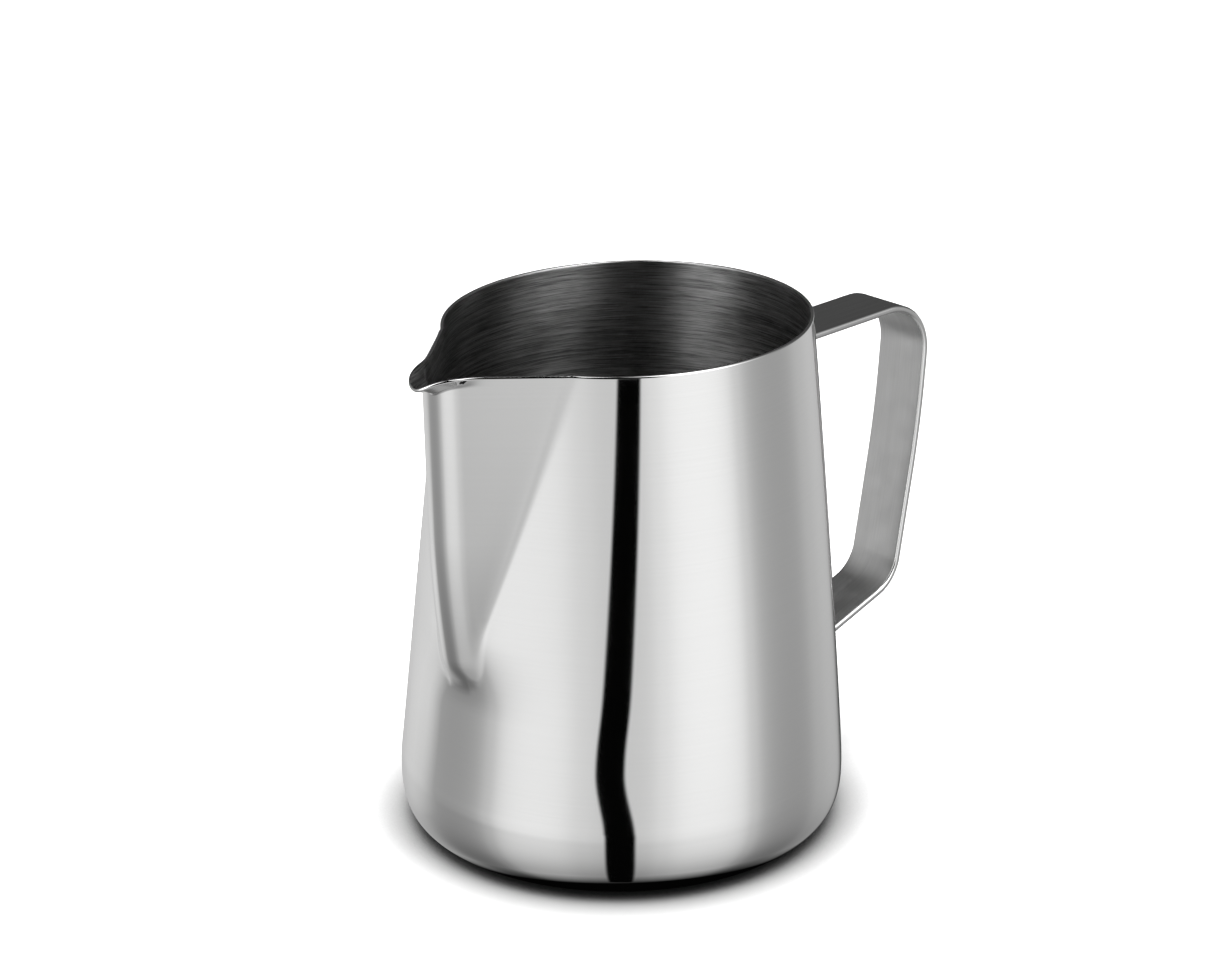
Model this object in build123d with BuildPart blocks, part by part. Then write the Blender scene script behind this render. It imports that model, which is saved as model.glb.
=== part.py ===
"""Milk frothing pitcher: a drawn sheet-metal body with a pressed pouring spout, and a bent strap
handle welded to its back. Millimetres, +Z up, origin on the body's axis in the plane it stands on.
The spout points to -X and the handle to +X."""

import os
from math import sqrt

from build123d import *

# Body: a straight tapered wall above a full, rounded foot.
height = 109.0
sheet = 0.8
seam_height = 14.5  # where the straight wall meets the rounded foot
seam_radius = 46.8
back_rim_radius = 41.5  # from the body's axis to the rim, on the handle's side
foot_swell = 0.6  # how far the foot's curve bulges past the wall's end, and how far down it holds on
foot_hold = 11.7
foot_flat_hold = 11.3  # how far out of the contact ring the foot's curve stays near the base plane
contact_radius = 34.9
ring_inner_radius = 30.5
dish_radius = 27.5
dish_depth = 1.0

# Mouth: pressing the spout out draws the flanks in, so the round of the mouth sits off the axis.
mouth_shift = 3.8
shift_power = 1.25
wall_stations = 6

# Spout, from its toe on the wall up past its lip: (height, reach from the axis, nose radius).
spout_stations = [
    (39.0, 43.4, 9.0),
    (45.0, 45.0, 10.4),
    (57.0, 47.0, 11.4),
    (103.5, 48.2, 11.4),
    (106.6, 49.9, 8.0),
    (108.2, 53.2, 4.6),
    (height, 54.8, 3.6),
]
flank_share = 0.98  # share of the mouth's radius that the spout's flat flanks run in to
lip_start = 45.5  # the rim dips from here out to the lip
lip_reach = 53.2
lip_drop = 0.8
lip_cut_reach = 20.0
lip_cut_above = 1.0  # how far the cut runs above the rim

# Handle: one strap, bent in the plane of the spout. Its middle line is given as corners.
strap_width = 13.4
strap_thickness = 1.6
strap_edge_round = 0.4
tab_length = 14.0
tab_sink = 0.5  # how far the tabs are pressed round the wall
upper_arm_height = 94.4
upper_corner = (87.0, 95.3)
grip_middle = (84.4, 66.5)
lower_corner = (77.5, 30.6)
lower_arm_height = 20.3
tab_bend_radius = 2.4
upper_bend_radius = 11.3
grip_bow_radius = 230.0
lower_bend_radius = 9.0

# Weld beads, one along each side of each tab.
bead_radius = 1.1
bead_end_round = 0.88
bead_length = 9.0
bead_start = 3.5  # from the arm's middle line to the bead's near end


def mouth_centre(level):
    """How far the round of the wall sits off the axis at a height above the seam."""
    rise = max(0.0, (level - seam_height) / (height - seam_height))
    return mouth_shift * rise**shift_power


def back_radius(level):
    """The wall's distance from the axis on the handle's side."""
    rise = (level - seam_height) / (height - seam_height)
    return seam_radius + (back_rim_radius - seam_radius) * rise


def wall_radius(level):
    return back_radius(level) - mouth_centre(level)


def flank(level, reach, nose, inset):
    """The two ends of the spout's flat flank at a height: on the round wall, and on the nose.

    The flank is the straight line that touches both the round of the wall and the nose."""
    wall_x, nose_x = mouth_centre(level), nose - reach
    wall_round, nose_round = wall_radius(level) * flank_share - inset, nose - inset
    lean = (wall_round - nose_round) / (wall_x - nose_x)
    spread = sqrt(1 - lean**2)
    root = (wall_x - wall_round * lean, wall_round * spread)
    shoulder = (nose_x - nose_round * lean, nose_round * spread)
    return root, shoulder


def envelope(inset):
    """The pitcher's solid outer shape, drawn in by the inset on every side."""
    with BuildPart() as shape:
        with BuildSketch(Plane.XZ):
            with BuildLine():
                Bezier(
                    (seam_radius - inset, seam_height),
                    (seam_radius - inset + foot_swell, seam_height - foot_hold),
                    (contact_radius - inset + foot_flat_hold, inset),
                    (contact_radius, inset),
                )
                Polyline(
                    (contact_radius, inset),
                    (ring_inner_radius, inset),
                    (dish_radius, dish_depth + inset),
                    (0, dish_depth + inset),
                    (0, seam_height),
                    (seam_radius - inset, seam_height),
                )
            make_face()
        revolve(axis=Axis.Z)
        for step in range(wall_stations + 1):
            level = seam_height + (height - seam_height) * step / wall_stations
            with BuildSketch(Plane.XY.offset(level)):
                with Locations((mouth_centre(level), 0)):
                    Circle(wall_radius(level) - inset)
        loft()
        for level, reach, nose in spout_stations:
            root, shoulder = flank(level, reach, nose, inset)
            with BuildSketch(Plane.XY.offset(level)):
                with BuildLine():
                    Line(root, shoulder)
                    ThreePointArc(shoulder, (inset - reach, 0), (shoulder[0], -shoulder[1]))
                    Line((shoulder[0], -shoulder[1]), (root[0], -root[1]))
                    Line((root[0], -root[1]), root)
                make_face()
        loft(ruled=True)
    return shape.part


outside = envelope(0)
inside = envelope(sheet)

with BuildPart() as pitcher_body:
    add(outside)
    add(inside, mode=Mode.SUBTRACT)
    lip_slope = lip_drop / (lip_reach - lip_start)
    cut_end = -lip_start - lip_cut_reach
    with BuildSketch(Plane.XZ):
        Polygon(
            (-lip_start, height),
            (cut_end, height - lip_slope * lip_cut_reach),
            (cut_end, height + lip_cut_above),
            (-lip_start, height + lip_cut_above),
            align=None,
        )
    extrude(amount=seam_radius, both=True, mode=Mode.SUBTRACT)

tab_offset = strap_thickness / 2 - tab_sink


def tab_point(level):
    """A point on the middle line of a tab that lies along the wall."""
    return (back_radius(level) + tab_offset, level)


with BuildPart() as handle_strap:
    with BuildSketch(Plane.XZ):
        with BuildLine():
            FilletPolyline(
                tab_point(upper_arm_height - tab_length),
                tab_point(upper_arm_height),
                upper_corner,
                grip_middle,
                lower_corner,
                tab_point(lower_arm_height),
                tab_point(lower_arm_height + tab_length),
                radius=[
                    tab_bend_radius,
                    upper_bend_radius,
                    grip_bow_radius,
                    lower_bend_radius,
                    tab_bend_radius,
                ],
            )
            offset(amount=strap_thickness / 2, kind=Kind.TANGENT, mode=Mode.REPLACE)
        make_face()
    extrude(amount=strap_width / 2, both=True)
    fillet(handle_strap.faces().filter_by(Axis.Y).edges(), radius=strap_edge_round)
    add(outside, mode=Mode.SUBTRACT)


def weld_beads(arm_height, way):
    """The two beads along a tab's sides. Way is 1 for a tab above its arm and -1 for one below."""
    start_height = arm_height + way * bead_start
    wall_x = back_radius(start_height)
    side_x = sqrt(wall_x**2 - (strap_width / 2) ** 2)
    end_x = back_radius(start_height + way * bead_length) - wall_x + side_x
    along = Vector(end_x - side_x, 0, way * bead_length)
    with BuildPart() as beads:
        for side in (-1, 1):
            start = (side_x, side * strap_width / 2, start_height)
            with BuildSketch(Plane(origin=start, z_dir=along)):
                Circle(bead_radius)
            extrude(amount=bead_length)
        fillet(beads.edges(), radius=bead_end_round)
        add(outside, mode=Mode.SUBTRACT)
        add(handle_strap.part, mode=Mode.SUBTRACT)
    return beads


upper_weld_beads = weld_beads(upper_arm_height, -1)
lower_weld_beads = weld_beads(lower_arm_height, 1)

pieces = {
    "pitcher_body": pitcher_body,
    "handle_strap": handle_strap,
    "upper_weld_beads": upper_weld_beads,
    "lower_weld_beads": lower_weld_beads,
}
os.makedirs("parts", exist_ok=True)
for name, piece in pieces.items():
    piece.part.label = name
    export_step(piece.part, f"parts/{name}.step")
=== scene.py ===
"""Milk frothing pitcher: the visible sheet-metal body, strap handle and weld beads, built round the
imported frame. Metres, +Z up, spout towards -X, handle towards +X."""

from math import atan2, cos, degrees, pi, radians, sin, sqrt

import bpy
import numpy as np
from mathutils import Matrix, Vector


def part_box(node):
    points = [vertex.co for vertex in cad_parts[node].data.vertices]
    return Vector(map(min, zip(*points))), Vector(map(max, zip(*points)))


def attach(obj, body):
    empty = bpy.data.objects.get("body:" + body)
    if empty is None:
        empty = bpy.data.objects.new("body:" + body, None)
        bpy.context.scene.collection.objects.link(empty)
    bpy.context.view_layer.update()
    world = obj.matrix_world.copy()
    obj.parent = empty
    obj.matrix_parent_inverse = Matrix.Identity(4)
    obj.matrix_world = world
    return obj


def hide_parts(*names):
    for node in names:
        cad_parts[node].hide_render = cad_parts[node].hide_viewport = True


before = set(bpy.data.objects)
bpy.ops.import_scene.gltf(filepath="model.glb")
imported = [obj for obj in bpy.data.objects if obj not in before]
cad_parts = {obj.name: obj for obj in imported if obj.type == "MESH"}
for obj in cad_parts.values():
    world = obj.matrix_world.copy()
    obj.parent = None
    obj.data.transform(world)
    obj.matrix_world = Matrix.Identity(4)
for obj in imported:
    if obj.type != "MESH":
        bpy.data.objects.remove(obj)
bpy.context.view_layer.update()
body_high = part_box("pitcher_body")[1]

mm = 0.001
micron = 0.000001

# ---------------------------------------------------------------- driving sizes

# Body: a tapered wall above a full, rounded foot.
rim_height = body_high.z
sheet = 0.8 * mm
seam_height = 14.5 * mm
seam_radius = 46.8 * mm
back_rim_radius = 41.9 * mm
mouth_shift = 2.9 * mm  # pressing the spout out draws the mouth into an oval, off the axis
shift_power = 0.87
mouth_narrowing = 5.2 * mm
narrowing_power = 1.38
toe_swell = 2.4 * mm  # how far the wall round the toe of the spout is pressed out with it
swell_spread = radians(18)
swell_low, swell_high = 36.0 * mm, 54.0 * mm

foot_swell = 0.55 * mm  # how far the foot's curve bulges past the wall's end, and how far down it holds on
foot_hold = 11.7 * mm
foot_flat_hold = 11.3 * mm  # how far out of the contact ring the foot's curve stays near the floor
contact_radius = 34.9 * mm
ring_inner_radius = 30.5 * mm
dish_radius = 27.5 * mm
dish_depth = 1.0 * mm

# Spout: a round ridge with a flat flank on either side, from its toe on the wall up to the rim.
toe_height = 41.0 * mm
toe_top = 74.0 * mm  # where the spout's ridge has come fully out
toe_depth = 2.6 * mm
toe_end_top = 47.0 * mm  # below here the toe rounds off bluntly
toe_end_depth = 1.8 * mm
neck_low_reach = 47.7 * mm  # the ridge's line, from the axis, carried down to the seam and up to the rim
neck_high_reach = 48.7 * mm
ridge_radius = 8.4 * mm
root_low = 33.0 * mm  # where the spout's two flanks would meet below its toe
root_spread = radians(32.0)  # from the ridge to the flank's root at the rim
root_slip = 25 * mm  # how fast a flank falls behind the wall past its root, for each radian
flank_blend = 1.2 * mm  # how softly the spout's flanks run into the round wall, low down
flank_blend_gain = 2.0 * mm  # and how much more softly they do at the rim
flank_bow = 0.6 * mm  # how far a flank bows out between its root and the ridge, for each radian
bow_peak = 4 / 27  # the most that share * (1 - share)**2 comes to

# Lip: the rim dips and flares out at the tip of the spout.
rim_clearance = 0.06 * mm
lip_dip = 2.35 * mm
dip_spread = radians(4.2)
flare_reach = 4.15 * mm
flare_spread = radians(6.6)
flare_height = 1.4 * mm
flare_power = 1.2
flare_side_power = 2.7  # how squarely the flare ends to either side

# Handle: one strap, bent in the plane of the spout. Corners are given as (X, Z).
strap_width = 13.4 * mm
strap_thickness = 1.6 * mm
strap_edge_round = 0.6 * mm
tab_length = 14.0 * mm
tab_sink = 0.5 * mm
upper_arm_height = 94.4 * mm
lower_arm_height = 20.3 * mm
upper_corner = (86.99 * mm, 95.3 * mm)
grip_middle = (84.4 * mm, 66.5 * mm)
lower_corner = (77.5 * mm, 30.6 * mm)
bend_radii = [2.4 * mm, 11.3 * mm, 230.0 * mm, 9.0 * mm, 2.4 * mm]
bend_spacing = 1.5 * mm
wrap_clearance = 0.3 * mm  # a tab wraps round the wall fully this close to it,
wrap_fade = 4.0 * mm  # and not at all this much further out

# Weld beads, one along each side of each tab.
bead_radius = 1.05 * mm
bead_flatness = 0.9
bead_length = 9.0 * mm
bead_start = 3.5 * mm  # from the arm's middle line to the bead's near end
bead_ripples = 9
ripple_depth = 0.12
ripple_lag = 0.5 * mm

# How finely the body's surface is divided.
columns = 360
spout_crowding = 0.75  # how much closer the columns stand at the spout
wall_rows = 108
rim_crowding = 1.6
rim_steps = 8


# ---------------------------------------------------------------- shape of the body

def smooth_step(value, low, high):
    """From 0 at low to 1 at high, level at both ends."""
    share = np.clip((value - low) / (high - low), 0, 1)
    return share**2 * (3 - 2 * share)


def rise(level):
    """Height above the seam as a share of the wall's height, never below zero."""
    return np.clip((level - seam_height) / (rim_height - seam_height), 0, None)


def back_radius(level):
    """The wall's distance from the axis on the handle's side."""
    return seam_radius + (back_rim_radius - seam_radius) * rise(level)


def wall_reach(angle, level):
    """Distance from the axis to the drawn wall: a circle at the seam, an oval at the mouth."""
    centre = mouth_shift * rise(level) ** shift_power
    length = back_radius(level) - centre
    width = back_radius(level) - mouth_narrowing * rise(level) ** narrowing_power
    across = (np.cos(angle) / length) ** 2 + (np.sin(angle) / width) ** 2
    offset = centre * np.cos(angle) / length**2
    drawn = (offset + np.sqrt(offset**2 + across * (1 - (centre / length) ** 2))) / across
    from_ridge = np.arccos(np.clip(-np.cos(angle), -1, 1))
    raised = smooth_step(level, swell_low, swell_high)
    return drawn + toe_swell * raised * np.exp(-((from_ridge / swell_spread) ** 2))


def spout_reach(level):
    """How far the spout's ridge stands from the axis, without the lip's flare."""
    neck_share = (level - seam_height) / (rim_height - seam_height)
    neck = neck_low_reach + (neck_high_reach - neck_low_reach) * neck_share
    toe_share = np.clip((toe_top - level) / (toe_top - toe_height), 0, 2)
    end_share = np.clip((toe_end_top - level) / (toe_end_top - toe_height), 0, 2)
    return neck - toe_depth * toe_share**1.8 - toe_end_depth * end_share**2


def smooth_max(a, b, width):
    """The larger of two distances, rounded over where they come within the width of each other."""
    overlap = np.maximum(width - np.abs(a - b), 0) / width
    return np.maximum(a, b) + overlap**3 * width / 6


def spout_face(turn, level):
    """Distance from the axis to the spout: a round ridge, and a flat flank from it to its root.

    Turn is measured from the back, so the ridge is at half a turn."""
    root_turn = pi - root_spread * np.clip((level - root_low) / (rim_height - root_low), 0, 1)
    root = wall_reach(root_turn, level)
    radius = ridge_radius
    centre = spout_reach(level) - radius
    root_x, root_y = root * np.cos(root_turn) + centre, root * np.sin(root_turn)
    from_ridge = np.hypot(root_x, root_y)
    facing = np.arctan2(root_y, root_x) + np.arccos(np.clip(radius / from_ridge, -1, 1))
    touch_turn = np.arctan2(radius * np.sin(facing), radius * np.cos(facing) - centre)
    nearest = radius - centre * np.cos(facing)
    flank = nearest / np.cos(np.clip(turn - facing, 0, 1.4))
    span = np.maximum(touch_turn - root_turn, 0.01)
    share = np.clip((turn - root_turn) / span, 0, 1)
    flank = flank + flank_bow * span * share * (1 - share) ** 2 / bow_peak
    flank = flank - root_slip * np.clip(root_turn - turn, 0, None)
    ridge = -centre * np.cos(turn) + np.sqrt(np.maximum(radius**2 - (centre * np.sin(turn)) ** 2, 0))
    return np.where((turn > touch_turn) | (from_ridge < radius), ridge, flank)


def turn_from_back(angle):
    """The angle from the handle's side, the same to either side, up to half a turn."""
    return np.abs(np.arctan2(np.sin(angle), np.cos(angle)))


def rim_level(angle):
    """Height of the rim, which dips round the lip."""
    from_ridge = pi - turn_from_back(angle)
    level_rim = rim_height - rim_clearance - sheet / 2
    return level_rim - lip_dip * np.exp(-((from_ridge / dip_spread) ** 2))


def body_reach(angle, level):
    """Distance from the axis to the outer surface: wall and spout blended, and the flared lip."""
    turn = turn_from_back(angle)
    wall = wall_reach(turn, level)
    flare = np.clip(1 - (rim_level(angle) - level) / flare_height, 0, 1) ** flare_power
    lip = flare_reach * flare * np.exp(-(((pi - turn) / flare_spread) ** flare_side_power))
    blend = flank_blend + flank_blend_gain * rise(level) ** 2
    return smooth_max(wall, spout_face(turn, level), blend) + lip


def bezier(start, first, second, end, share):
    """Points on a curve from start to end, drawn towards first and second on its way."""
    keep = 1 - share
    return (
        keep**3 * start[:, None]
        + 3 * keep**2 * share * first[:, None]
        + 3 * keep * share**2 * second[:, None]
        + share**3 * end[:, None]
    ).T


def base_profile():
    """Radius and height along the underside, from the dish out over the foot to the seam."""
    dish = [(dish_radius * share, dish_depth) for share in np.linspace(0.06, 0.98, 9)]
    step = []
    for share in np.linspace(0, 1, 9):
        radius = dish_radius + (ring_inner_radius - dish_radius) * share
        step.append((radius, dish_depth * (0.5 + 0.5 * cos(pi * share))))
    ring_width = contact_radius - ring_inner_radius
    ring = [(ring_inner_radius + ring_width * share, 0) for share in (0.25, 0.5, 0.75)]
    foot = bezier(
        np.array([contact_radius, 0]),
        np.array([contact_radius + foot_flat_hold, 0]),
        np.array([seam_radius + foot_swell, seam_height - foot_hold]),
        np.array([seam_radius, seam_height]),
        np.linspace(0, 1, 33),
    )
    return np.array(dish + step + ring + [tuple(point) for point in foot])


def ring_points(angle, reach, level):
    return np.stack([reach * np.cos(angle), reach * np.sin(angle), level], -1)


def outer_grid(angle):
    """Points of the outer surface: a row for each height, a column for each angle."""
    rows = []
    for radius, level in base_profile():
        rows.append(ring_points(angle, radius, np.full_like(angle, level)))
    top = rim_level(angle)
    even = np.linspace(0, 1, wall_rows)[1:]
    for share in 1 - (1 - even) ** rim_crowding:
        level = seam_height + (top - seam_height) * share
        rows.append(ring_points(angle, body_reach(angle, level), level))
    return np.array(rows)


def unit(vectors):
    return vectors / np.linalg.norm(vectors, axis=-1, keepdims=True)


def grid_normals(grid):
    """Outward directions at a grid's points."""
    along = np.gradient(grid, axis=0)
    around = np.roll(grid, -1, axis=1) - np.roll(grid, 1, axis=1)
    return unit(np.cross(around, along))


def spread_angles():
    """Angles round the body, closer together at the spout."""
    share = np.arange(columns) / columns
    return 2 * pi * share + spout_crowding * np.sin(2 * pi * share)


def grid_object(name, rows, start_point=None, end_point=None):
    """A closed tube of quads through the rows, with a fan to a point at either end."""
    count, around = rows.shape[:2]
    points = [tuple(p) for p in rows.reshape(-1, 3)]
    faces = []
    for row in range(count - 1):
        for column in range(around):
            after = (column + 1) % around
            low, high = row * around, (row + 1) * around
            faces.append((low + column, low + after, high + after, high + column))
    for point, first, flip in ((start_point, 0, True), (end_point, (count - 1) * around, False)):
        if point is None:
            continue
        points.append(tuple(point))
        tip = len(points) - 1
        for column in range(around):
            after = (column + 1) % around
            pair = (first + after, first + column) if flip else (first + column, first + after)
            faces.append((*pair, tip))
    mesh = bpy.data.meshes.new(name)
    mesh.from_pydata(points, [], faces)
    mesh.update()
    for polygon in mesh.polygons:
        polygon.use_smooth = True
    piece = bpy.data.objects.new(name, mesh)
    bpy.context.scene.collection.objects.link(piece)
    return piece


def make_body():
    """The drawn sheet: outer surface, rounded rim, and the inner surface one sheet further in."""
    angle = spread_angles()
    outer = outer_grid(angle)
    normal = grid_normals(outer)
    inner = outer - sheet * normal
    edge_centre = outer[-1] - sheet / 2 * normal[-1]
    upward = unit(outer[-1] - outer[-2])
    rim = []
    for share in np.linspace(0, 1, rim_steps + 1)[1:-1]:
        turn = pi * share
        rim.append(edge_centre + sheet / 2 * (normal[-1] * cos(turn) + upward * sin(turn)))
    rows = np.concatenate([outer, np.array(rim), inner[::-1]])
    piece = grid_object("body_sheet", rows, (0, 0, dish_depth), (0, 0, dish_depth + sheet))
    inside_start = len(outer) + len(rim) - 2
    inside_fan = len(piece.data.polygons) - columns
    for polygon in piece.data.polygons:
        row = polygon.index // columns
        in_rows = inside_start <= row < len(rows) - 1
        polygon.material_index = int(in_rows or polygon.index >= inside_fan)
    return piece


# ---------------------------------------------------------------- shape of the handle

def tab_point(level):
    """A point on the middle line of a tab that lies along the wall, as (X, Z)."""
    return (float(back_radius(level)) + strap_thickness / 2 - tab_sink, level)


def spun(arm, swing):
    return Vector((arm.x * cos(swing) - arm.y * sin(swing), arm.x * sin(swing) + arm.y * cos(swing)))


def bent_line(corners, radii, spacing):
    """A line through the corners, with an arc at each inner one. Returns points and directions."""
    corners = [Vector(corner) for corner in corners]
    pieces = []
    start = corners[0]
    for before, here, after, radius in zip(corners, corners[1:], corners[2:], radii):
        entry, leave = (here - before).normalized(), (after - here).normalized()
        turn = entry.angle_signed(leave)
        trim = radius * abs(np.tan(turn / 2))
        pieces.append(("line", start, here - entry * trim))
        pieces.append(("arc", here - entry * trim, entry, turn, radius))
        start = here + leave * trim
    pieces.append(("line", start, corners[-1]))
    points, directions = [], []
    for kind, *data in pieces:
        if kind == "line":
            first, last = data
            length = (last - first).length
            steps = max(2, int(length / spacing))
            for step in range(steps):
                points.append(first + (last - first) * step / steps)
                directions.append((last - first).normalized())
        else:
            first, entry, turn, radius = data
            steps = max(6, int(abs(turn) * radius / spacing), int(abs(degrees(turn)) / 5))
            side = Vector((entry.y, -entry.x)) if turn > 0 else Vector((-entry.y, entry.x))
            centre = first + side * radius
            for step in range(steps):
                swing = -turn * step / steps
                points.append(centre + spun(first - centre, swing))
                directions.append(spun(entry, swing))
    points.append(corners[-1])
    directions.append(directions[-1])
    return points, directions


def strap_section():
    """Across the strap: (sideways, outwards) round a rectangle with rounded edges."""
    half_width = strap_width / 2 - strap_edge_round
    half_depth = strap_thickness / 2 - strap_edge_round
    outline = []
    for corner, (side, out) in enumerate(((1, 1), (-1, 1), (-1, -1), (1, -1))):
        for step in range(6):
            turn = (corner + step / 5) * pi / 2
            outline.append((side * half_width + strap_edge_round * cos(turn),
                            out * half_depth + strap_edge_round * sin(turn)))
        if side * out > 0:
            direction = -1 if out > 0 else 1
            for share in (0.2, 0.4, 0.6, 0.8):
                outline.append((direction * (2 * share - 1) * half_width, out * strap_thickness / 2))
    return outline


def make_handle():
    """The strap along its bent middle line, with its tabs wrapped round the wall."""
    corners = [
        tab_point(upper_arm_height - tab_length),
        tab_point(upper_arm_height),
        upper_corner,
        grip_middle,
        lower_corner,
        tab_point(lower_arm_height),
        tab_point(lower_arm_height + tab_length),
    ]
    points, directions = bent_line(corners, bend_radii, bend_spacing)
    section = strap_section()
    rows = []
    for point, direction in zip(points, directions):
        out = Vector((-direction.y, direction.x))
        ring = []
        for sideways, outwards in section:
            x = point.x + out.x * outwards
            z = point.y + out.y * outwards
            off_wall = point.x - float(back_radius(point.y)) - wrap_clearance
            near_wall = max(0.0, 1 - off_wall / wrap_fade)
            wrap = float(back_radius(z)) - sqrt(float(back_radius(z)) ** 2 - sideways**2)
            ring.append((x - wrap * near_wall, sideways, z))
        rows.append(ring)
    rows = np.array(rows)
    first_middle, last_middle = rows[0].mean(0), rows[-1].mean(0)
    piece = grid_object("strap", rows, first_middle, last_middle)
    around = len(section)
    for polygon in piece.data.polygons[:(len(rows) - 1) * around]:
        column = polygon.index % around
        here, after = section[column], section[(column + 1) % around]
        middle_depth = (here[1] + after[1]) / 2
        polygon.material_index = int(middle_depth < -0.95 * strap_thickness / 2)
    return piece


# ---------------------------------------------------------------- weld beads

def make_beads(name, arm_height, way):
    """Two rippled beads beside a tab. Way is 1 for a tab above its arm and -1 for one below."""
    across, steps = 16, 54
    objects = []
    for side in (-1, 1):
        rows = []
        for step in range(steps + 1):
            share = step / steps
            level = arm_height + way * (bead_start + bead_length * share)
            wall = float(back_radius(level))
            side_y = strap_width / 2
            centre = Vector((sqrt(wall**2 - side_y**2), side * side_y, level))
            ending = sqrt(max(1 - abs(2 * share - 1) ** 6, 0.0004))
            ripple = 1 - ripple_depth * (0.5 + 0.5 * cos(2 * pi * bead_ripples * share)) ** 2
            size = bead_radius * ending * ripple
            outward = Vector((centre.x, centre.y, 0)).normalized()
            tangent = Vector((-outward.y, outward.x, 0))
            ring = []
            for turn in range(across):
                swing = 2 * pi * turn / across
                lag = -way * ripple_lag * (1 - abs(sin(swing))) * ripple
                across_bead = outward * size * sin(swing) * bead_flatness + tangent * size * cos(swing)
                ring.append(centre + across_bead + Vector((0, 0, lag * ending)))
            rows.append([tuple(p) for p in ring])
        rows = np.array(rows)
        side_name = "near" if side < 0 else "far"
        objects.append(grid_object(f"{name}_{side_name}", rows, rows[0].mean(0), rows[-1].mean(0)))
    return objects


# ---------------------------------------------------------------- finishes

class Nodes:
    """A short way to add nodes to a tree and link them."""

    def __init__(self, tree):
        self.tree = tree

    def add(self, kind, inputs=None, **settings):
        node = self.tree.nodes.new(kind)
        for key, value in settings.items():
            setattr(node, key, value)
        for key, value in (inputs or {}).items():
            self.feed(node.inputs[key], value)
        return node

    def feed(self, socket, value):
        if isinstance(value, bpy.types.NodeSocket):
            self.tree.links.new(value, socket)
        else:
            socket.default_value = value

    def maths(self, operation, a, b=0.0, c=0.0, clamp=False):
        inputs = {0: a, 1: b, 2: c}
        return self.add("ShaderNodeMath", inputs, operation=operation, use_clamp=clamp).outputs[0]

    def remap(self, value, low, high, to_low=0.0, to_high=1.0, smooth=True):
        node = self.add("ShaderNodeMapRange", {"Value": value, "From Min": low, "From Max": high,
                                               "To Min": to_low, "To Max": to_high})
        node.interpolation_type = "SMOOTHSTEP" if smooth else "LINEAR"
        return node.outputs["Result"]


def new_group(name, inputs, outputs):
    """An empty shader group with named number inputs, and outputs of the kinds given."""
    group = bpy.data.node_groups.new(name, "ShaderNodeTree")
    for label, value in inputs.items():
        socket = group.interface.new_socket(label, in_out="INPUT", socket_type="NodeSocketFloat")
        socket.default_value = value
    for label, kind in outputs.items():
        group.interface.new_socket(label, in_out="OUTPUT", socket_type=kind)
    nodes = Nodes(group)
    return group, nodes, nodes.add("NodeGroupInput").outputs, nodes.add("NodeGroupOutput").inputs


default_patch_size = 60.0  # patches to the metre


def brushing_group():
    """Fine lines left by turning or belt brushing, long one way and close together the other."""
    group, nodes, given, out = new_group(
        "brushing",
        {"Along X": 30.0, "Along Y": 30.0, "Along Z": 4000.0, "Patch Size": default_patch_size},
        {"Lines": "NodeSocketFloat", "Broad Lines": "NodeSocketFloat", "Patches": "NodeSocketFloat"},
    )
    place = nodes.add("ShaderNodeTexCoord").outputs["Object"]
    stretch = nodes.add("ShaderNodeCombineXYZ")
    for axis in "XYZ":
        nodes.feed(stretch.inputs[axis], given[f"Along {axis}"])
    stretched = nodes.add("ShaderNodeVectorMath", {0: place, 1: stretch.outputs[0]}, operation="MULTIPLY")
    noises = (
        ("Lines", {"Vector": stretched.outputs[0], "Scale": 1.0, "Detail": 4.0, "Roughness": 0.65}),
        ("Broad Lines", {"Vector": stretched.outputs[0], "Scale": 0.22, "Detail": 3.0, "Roughness": 0.6}),
        ("Patches", {"Vector": place, "Scale": given["Patch Size"], "Detail": 3.0}),
    )
    for label, inputs in noises:
        nodes.feed(out[label], nodes.add("ShaderNodeTexNoise", inputs).outputs["Fac"])
    return group


def edge_wear_and_glint_group():
    """Where a convex edge is lightened: partly rubbed-bright wear, partly a painted glint along the edge.
    """
    group, nodes, given, out = new_group(
        "edge wear and painted glint", {"Low": 0.52, "High": 0.6}, {"Wear And Glint": "NodeSocketFloat"}
    )
    pointiness = nodes.add("ShaderNodeNewGeometry").outputs["Pointiness"]
    bright_edge = nodes.remap(pointiness, given["Low"], given["High"])
    place = nodes.add("ShaderNodeTexCoord").outputs["Object"]
    breakup = nodes.add("ShaderNodeTexNoise", {"Vector": place, "Scale": 900.0, "Detail": 3.0})
    broken = nodes.remap(breakup.outputs["Fac"], 0.3, 0.6)
    nodes.feed(out["Wear And Glint"], nodes.maths("MULTIPLY", bright_edge, broken, clamp=True))
    return group


brushing = brushing_group()
edge_wear_and_glint = edge_wear_and_glint_group()


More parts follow.
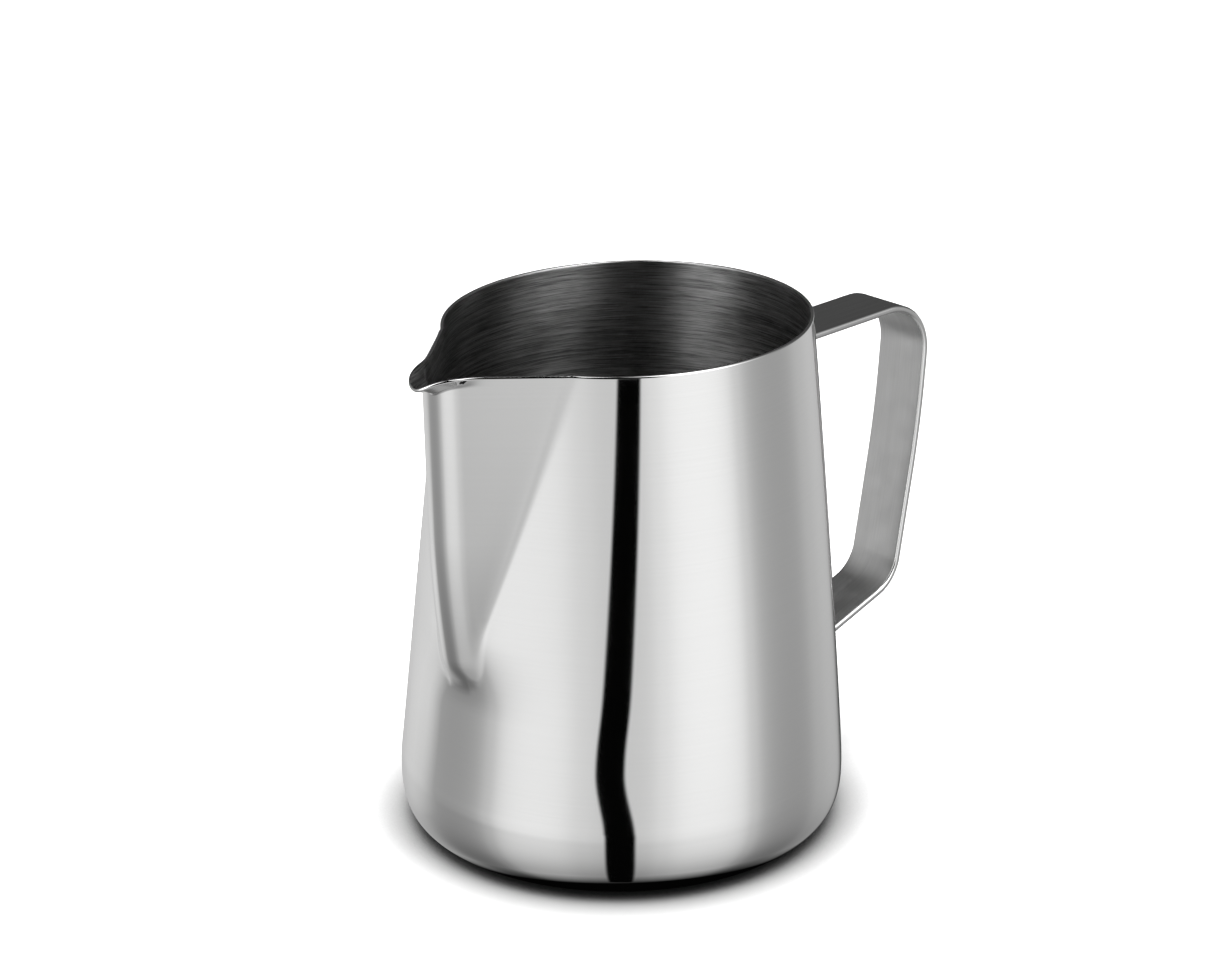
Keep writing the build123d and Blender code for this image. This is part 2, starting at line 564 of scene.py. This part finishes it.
def steel(name, dark, light, smooth, rough, line_height, along,
          patch_size=default_patch_size, anisotropy=0.0, turned=False):
    """A steel finish: colour and roughness drift with the brushing, and its lines stand up a little.

    Dark and light are the two ends of its colour, smooth and rough those of its roughness."""
    material = bpy.data.materials.new(name)
    material.use_nodes = True
    tree = material.node_tree
    tree.nodes.clear()
    nodes = Nodes(tree)
    shader = nodes.add("ShaderNodeBsdfPrincipled", {"Metallic": 1.0, "Anisotropic": anisotropy})
    if turned:
        shader.inputs["Anisotropic Rotation"].default_value = 0.25
    output = nodes.add("ShaderNodeOutputMaterial")
    tree.links.new(shader.outputs["BSDF"], output.inputs["Surface"])

    lines = nodes.add("ShaderNodeGroup", node_tree=brushing)
    for label, value in zip(("Along X", "Along Y", "Along Z"), along):
        lines.inputs[label].default_value = value
    lines.inputs["Patch Size"].default_value = patch_size
    wear_and_glint = nodes.add("ShaderNodeGroup", node_tree=edge_wear_and_glint)

    tone = 0.0
    for label, weight in (("Broad Lines", 0.3), ("Lines", 0.55), ("Patches", 0.15)):
        tone = nodes.maths("MULTIPLY_ADD", lines.outputs[label], weight, tone)
    tone = nodes.remap(tone, 0.36, 0.64)
    # Convex edges lightened: rubbed wear together with a painted glint.
    tone = nodes.maths("MAXIMUM", tone, wear_and_glint.outputs["Wear And Glint"])
    colour = nodes.add("ShaderNodeMix", data_type="RGBA")
    nodes.feed(colour.inputs["Factor"], tone)
    colour.inputs["A"].default_value = (*dark, 1)
    colour.inputs["B"].default_value = (*light, 1)
    tree.links.new(colour.outputs["Result"], shader.inputs["Base Color"])

    drift = 0.0
    for label, weight in (("Patches", 0.6), ("Lines", 0.4)):
        drift = nodes.maths("MULTIPLY_ADD", lines.outputs[label], weight, drift)
    nodes.feed(shader.inputs["Roughness"], nodes.remap(drift, 0.35, 0.65, smooth, rough))

    bump = nodes.add("ShaderNodeBump", {"Strength": 1.0, "Distance": line_height})
    nodes.feed(bump.inputs["Height"], lines.outputs["Lines"])
    tree.links.new(bump.outputs["Normal"], shader.inputs["Normal"])
    if turned:
        tangent = nodes.add("ShaderNodeTangent", direction_type="RADIAL", axis="Z")
        tree.links.new(tangent.outputs[0], shader.inputs["Tangent"])
    return material


# Brushing lines to the metre along X, Y and Z.
round_lines = (18.0, 18.0, 5000.0)
turned_lines = (150.0, 150.0, 6500.0)
strap_lines = (60.0, 2500.0, 60.0)
weld_lines = (700.0, 700.0, 700.0)

mirror_steel = steel(
    "mirror polished steel", (0.885, 0.885, 0.88), (0.90, 0.90, 0.895), 0.05, 0.07,
    0.1 * micron, round_lines,
)
# The turned satin lines are real; the low colour, down to 0.17, is painted shade that darkens the hollow
# inside.
satin_inside_with_painted_shade = steel(
    "satin turned inside, painted shade", (0.17, 0.17, 0.17), (0.62, 0.62, 0.62), 0.30, 0.36,
    3.0 * micron, turned_lines, anisotropy=0.9, turned=True,
)
strap_steel = steel(
    "polished strap", (0.82, 0.82, 0.815), (0.90, 0.90, 0.895), 0.09, 0.14,
    0.4 * micron, strap_lines,
)
strap_satin = steel(
    "satin strap underside", (0.84, 0.84, 0.835), (0.92, 0.92, 0.915), 0.34, 0.44,
    1.5 * micron, strap_lines, patch_size=250.0,
)
weld_steel = steel(
    "brushed weld metal", (0.44, 0.42, 0.40), (0.68, 0.67, 0.65), 0.26, 0.42,
    10.0 * micron, weld_lines, patch_size=400.0,
)


# ---------------------------------------------------------------- pieces on the frame

def finish_piece(piece, slot, *materials):
    """Give a piece its materials and its body. The slot argument is not used."""
    for material in materials:
        piece.data.materials.append(material)
    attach(piece, "root")


body = make_body()
finish_piece(body, "body_steel", mirror_steel, satin_inside_with_painted_shade)
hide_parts("pitcher_body")

strap = make_handle()
finish_piece(strap, "handle_steel", strap_steel, strap_satin)
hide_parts("handle_strap")

for tab, height, way in (("upper", upper_arm_height, -1), ("lower", lower_arm_height, 1)):
    for bead in make_beads(f"{tab}_weld_bead", height, way):
        finish_piece(bead, "weld_metal", weld_steel)
        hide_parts(f"{tab}_weld_beads")


# ---------------------------------------------------------------- camera

camera_azimuth = radians(-42.104)
camera_elevation = radians(21.433)
camera_roll = radians(-0.6)
camera_distance = 664.06 * mm
camera_target = Vector((-0.600, 0.542, 71.66)) * mm
camera_sensor = 36.0
camera_lens = 93.92


def make_camera():
    """The camera, turned about its own line of sight by the roll."""
    back = Vector((
        sin(camera_azimuth) * cos(camera_elevation),
        -cos(camera_azimuth) * cos(camera_elevation),
        sin(camera_elevation),
    ))
    right = (-back).cross(Vector((0, 0, 1))).normalized()
    up = right.cross(-back)
    tilted_right = cos(camera_roll) * right + sin(camera_roll) * up
    tilted_up = -sin(camera_roll) * right + cos(camera_roll) * up
    data = bpy.data.cameras.new("camera")
    data.sensor_width = camera_sensor
    data.lens = camera_lens
    data.clip_start, data.clip_end = 0.01, 50.0
    camera = bpy.data.objects.new("camera", data)
    bpy.context.scene.collection.objects.link(camera)
    turn = Matrix((tilted_right, tilted_up, back)).transposed()
    camera.matrix_world = Matrix.Translation(camera_target + back * camera_distance) @ turn.to_4x4()
    bpy.context.scene.camera = camera


make_camera()


# ---------------------------------------------------------------- floor and light

floor_size = 3.0  # from the middle to each side
contact_shadow_distance = 15 * mm  # how far from the foot the painted contact shadow on the floor reaches


def make_floor():
    """A plain pale floor with a painted contact shadow: its colour darkens softly where the foot comes
    close to it.
    """
    corners = [(x * floor_size, y * floor_size, 0) for x, y in ((-1, -1), (1, -1), (1, 1), (-1, 1))]
    mesh = bpy.data.meshes.new("floor")
    mesh.from_pydata(corners, [], [(0, 1, 2, 3)])
    floor = bpy.data.objects.new("floor", mesh)
    bpy.context.scene.collection.objects.link(floor)
    paint = bpy.data.materials.new("pale floor with painted contact shadow")
    paint.use_nodes = True
    nodes = Nodes(paint.node_tree)
    shader = paint.node_tree.nodes["Principled BSDF"]
    shader.inputs["Roughness"].default_value = 1.0
    shader.inputs["Specular IOR Level"].default_value = 0.0
    # Painted shadow: the floor's colour is darkened by occlusion near the foot.
    painted_contact_shadow = nodes.add("ShaderNodeAmbientOcclusion", {"Distance": contact_shadow_distance}, samples=8)
    shade = nodes.remap(painted_contact_shadow.outputs["AO"], 0.22, 1.0, 0.03, 0.95, smooth=False)
    tone = nodes.add("ShaderNodeCombineColor", {0: shade, 1: shade, 2: shade})
    paint.node_tree.links.new(tone.outputs[0], shader.inputs["Base Color"])
    mesh.materials.append(paint)
    floor.visible_glossy = False


# The light tent round the pitcher, as (degrees from the camera's side, brightness). The low half stands
# below the horizon and is what the outside reflects, and the high half is what lights the inside.
low_tent = [
    (-180, 0.05), (-174, 0.60), (-150, 0.70), (-97, 0.34), (-72, 0.56), (-47, 0.88), (-20, 0.70), (0, 0.62),
    (20, 0.78), (46, 0.96), (70, 0.64), (97, 0.36), (125, 0.50), (147, 0.56), (158, 0.36), (167, 0.10),
    (180, 0.03),
]
high_tent = [
    (-180, 0.025), (-110, 0.07), (-75, 0.35), (-46, 1.0), (-21, 0.0), (0, 0.0), (21, 0.0), (46, 1.0),
    (75, 0.35), (110, 0.07), (180, 0.025),
]
high_strength = 2.8
low_fade = (-50, -12)  # the low half dims towards the floor, between these elevations in degrees,
low_fade_level = 0.42  # down to this share


def ring_of_light(nodes, azimuth, stops):
    """Brightness round the pitcher as a smooth curve through the stops."""
    curve = nodes.add("ShaderNodeFloatCurve")
    nodes.feed(curve.inputs["Value"], nodes.maths("MULTIPLY_ADD", azimuth, 1 / (2 * pi), 0.5))
    points = curve.mapping.curves[0].points
    for index, (angle, level) in enumerate(stops):
        spot = (angle / 360 + 0.5, level)
        if index < 2:
            points[index].location = spot
        else:
            points.new(*spot)
    curve.mapping.update()
    return curve.outputs[0]


def make_world():
    """Soft light and dark panels all round, and white where the camera looks straight at them."""
    world = bpy.data.worlds.new("light tent")
    world.use_nodes = True
    bpy.context.scene.world = world
    tree = world.node_tree
    tree.nodes.clear()
    nodes = Nodes(tree)
    way = nodes.add("ShaderNodeTexCoord").outputs["Generated"]
    camera_turn = atan2(-cos(camera_azimuth), sin(camera_azimuth))
    turned = nodes.add("ShaderNodeVectorRotate", {"Vector": way, "Angle": -camera_turn})
    turned.rotation_type = "Z_AXIS"
    parts = nodes.add("ShaderNodeSeparateXYZ", {0: turned.outputs[0]}).outputs
    azimuth = nodes.maths("ARCTAN2", parts["Y"], parts["X"])
    height = parts["Z"]

    low = ring_of_light(nodes, azimuth, low_tent)
    dim, full = (sin(radians(elevation)) for elevation in low_fade)
    low = nodes.maths("MULTIPLY", low, nodes.remap(height, dim, full, low_fade_level, 1.0))
    horizon = sin(radians(2))
    low = nodes.maths("MULTIPLY", low, nodes.remap(height, horizon, -horizon))
    high = nodes.maths("MULTIPLY", ring_of_light(nodes, azimuth, high_tent), high_strength)
    high = nodes.maths("MULTIPLY", high, nodes.remap(height, -horizon, horizon))
    level = nodes.maths("ADD", low, high)

    seen = nodes.add("ShaderNodeBackground", {"Color": (1, 1, 1, 1), "Strength": 1.0})
    lit = nodes.add("ShaderNodeBackground", {"Color": (1, 1, 1, 1), "Strength": level})
    mix = nodes.add("ShaderNodeMixShader")
    nodes.feed(mix.inputs[0], nodes.add("ShaderNodeLightPath").outputs["Is Camera Ray"])
    tree.links.new(lit.outputs[0], mix.inputs[1])
    tree.links.new(seen.outputs[0], mix.inputs[2])
    output = nodes.add("ShaderNodeOutputWorld")
    tree.links.new(mix.outputs[0], output.inputs["Surface"])


# Panels that only the reflections show.
unlit_tone = 0.001

# The dark card: it leans over its upper part, and bows back to upright near the foot.
card_distance = 80 * mm
card_bottom, card_top = -60.0 * mm, 106.0 * mm
card_width = 15.0 * mm
card_soft_edge = 0.9 * mm
card_rows = 110
card_lean = 0.16  # sideways for each step up
card_upright_height = 58.0 * mm  # where the leaning part crosses the middle
card_bow = 1.2 * mm
card_bow_height, card_bow_spread = 24.0 * mm, 8.0 * mm
card_foot_place = -1.3 * mm
card_foot_low, card_foot_high = 5.0 * mm, 20.0 * mm

# The side panel, between two upright edges given as (X, Y).
panel_far_edge, panel_near_edge = (-110 * mm, 132 * mm), (-5 * mm, 118 * mm)
panel_bottom, panel_top = -60 * mm, 75 * mm
panel_steps = 8
panel_side_fade, panel_end_fade = 1.5, 2.2  # how quickly its edges turn solid
panel_tone = 0.72

# The foot shade, a painted shadow: a dark disc just under the floor, a little towards the front of the
# foot, standing in for the floor's contact shadow in the steel's reflections.
shade_full, shade_gone = 34.5 * mm, 39 * mm
shade_forward = 14 * mm
shade_turn = radians(4)
shade_level = -0.3 * mm
shade_steps = 96


def grid_faces(rows, across):
    """Quads between rows of points that stand one more than across to a row."""
    faces = []
    for row in range(rows):
        for column in range(across):
            first = row * (across + 1) + column
            faces.append((first, first + 1, first + across + 2, first + across + 1))
    return faces


def reflected_only(name, points, faces, cover, tone):
    """A panel that only the reflections show. Cover is how solid it is at each point, from 0 to 1."""
    mesh = bpy.data.meshes.new(name)
    mesh.from_pydata(points, [], faces)
    covering = mesh.attributes.new("cover", "FLOAT", "POINT")
    covering.data.foreach_set("value", cover)
    panel = bpy.data.objects.new(name, mesh)
    bpy.context.scene.collection.objects.link(panel)
    paint = bpy.data.materials.new(name)
    paint.use_nodes = True
    paint.node_tree.nodes.clear()
    nodes = Nodes(paint.node_tree)
    glow = nodes.add("ShaderNodeEmission", {"Color": (1, 1, 1, 1), "Strength": tone})
    clear = nodes.add("ShaderNodeBsdfTransparent")
    solid = nodes.add("ShaderNodeAttribute", attribute_name="cover").outputs["Fac"]
    mix = nodes.add("ShaderNodeMixShader", {0: solid, 1: clear.outputs[0], 2: glow.outputs[0]})
    nodes.feed(nodes.add("ShaderNodeOutputMaterial").inputs["Surface"], mix.outputs[0])
    mesh.materials.append(paint)
    panel.visible_camera = False
    panel.visible_diffuse = False
    panel.visible_shadow = False


def card_middle(level):
    """How far to the side the dark card's middle stands at a height."""
    leaning = card_lean * (level - card_upright_height)
    leaning -= card_bow * np.exp(-(((level - card_bow_height) / card_bow_spread) ** 2))
    share = smooth_step(level, card_foot_low, card_foot_high)
    return float(card_foot_place + (leaning - card_foot_place) * share)


def make_dark_card():
    """A narrow black card with soft edges in front of the pitcher."""
    towards = Vector((sin(camera_azimuth), -cos(camera_azimuth), 0))
    across = Vector((-towards.y, towards.x, 0))
    half_width = card_width / 2
    inner, outer = half_width - card_soft_edge, half_width + card_soft_edge
    points, cover = [], []
    for level in np.linspace(card_bottom, card_top, card_rows + 1):
        for edge in (-outer, -inner, inner, outer):
            sideways = across * (card_middle(level) + edge)
            points.append(tuple(towards * card_distance + sideways + Vector((0, 0, float(level)))))
        cover += [0.0, 1.0, 1.0, 0.0]
    reflected_only("dark card", points, grid_faces(card_rows, 3), cover, unlit_tone)


def make_side_panel():
    """A pale panel behind the pitcher that lights the inner face of the handle's grip."""
    points, cover = [], []
    far, near = Vector(panel_far_edge), Vector(panel_near_edge)
    for row in range(panel_steps + 1):
        up = row / panel_steps
        for column in range(panel_steps + 1):
            along = column / panel_steps
            spot = far.lerp(near, along)
            points.append((spot.x, spot.y, panel_bottom + (panel_top - panel_bottom) * up))
            side_fade = min(1.0, panel_side_fade * (1 - abs(2 * along - 1)))
            cover.append(side_fade * min(1.0, panel_end_fade * (1 - up), panel_end_fade * up))
    reflected_only("side panel", points, grid_faces(panel_steps, panel_steps), cover, panel_tone)


def make_painted_foot_shadow():
    """The floor's contact shadow close to the front of the foot, as the polished steel sees it, painted as
    a dark disc.
    """
    facing = camera_azimuth + shade_turn
    middle = Vector((sin(facing), -cos(facing), 0)) * shade_forward
    # Painted shadow: solid in the middle, fading out towards its edge.
    points, cover = [tuple(middle)], [1.0]
    for radius, solid in ((shade_full, 1.0), (shade_gone, 0.0)):
        for step in range(shade_steps):
            turn = 2 * pi * step / shade_steps
            points.append((middle.x + radius * cos(turn), middle.y + radius * sin(turn), shade_level))
            cover.append(solid)
    faces = []
    for step in range(shade_steps):
        here, after = 1 + step, 1 + (step + 1) % shade_steps
        faces.append((0, here, after))
        faces.append((here, here + shade_steps, after + shade_steps, after))
    reflected_only("painted foot shadow", points, faces, cover, unlit_tone)


def make_top_light():
    """A wide soft lamp overhead for the floor, which the steel doesn't reflect."""
    data = bpy.data.lights.new("overhead panel", "AREA")
    data.shape = "DISK"
    data.size = 1.6
    data.energy = 30.0
    light = bpy.data.objects.new("overhead panel", data)
    light.location = (0.15, 0.16, 1.2)
    light.visible_glossy = False
    bpy.context.scene.collection.objects.link(light)


make_floor()
make_dark_card()
make_side_panel()
make_painted_foot_shadow()
make_world()
make_top_light()
bpy.context.scene.view_settings.view_transform = "Standard"
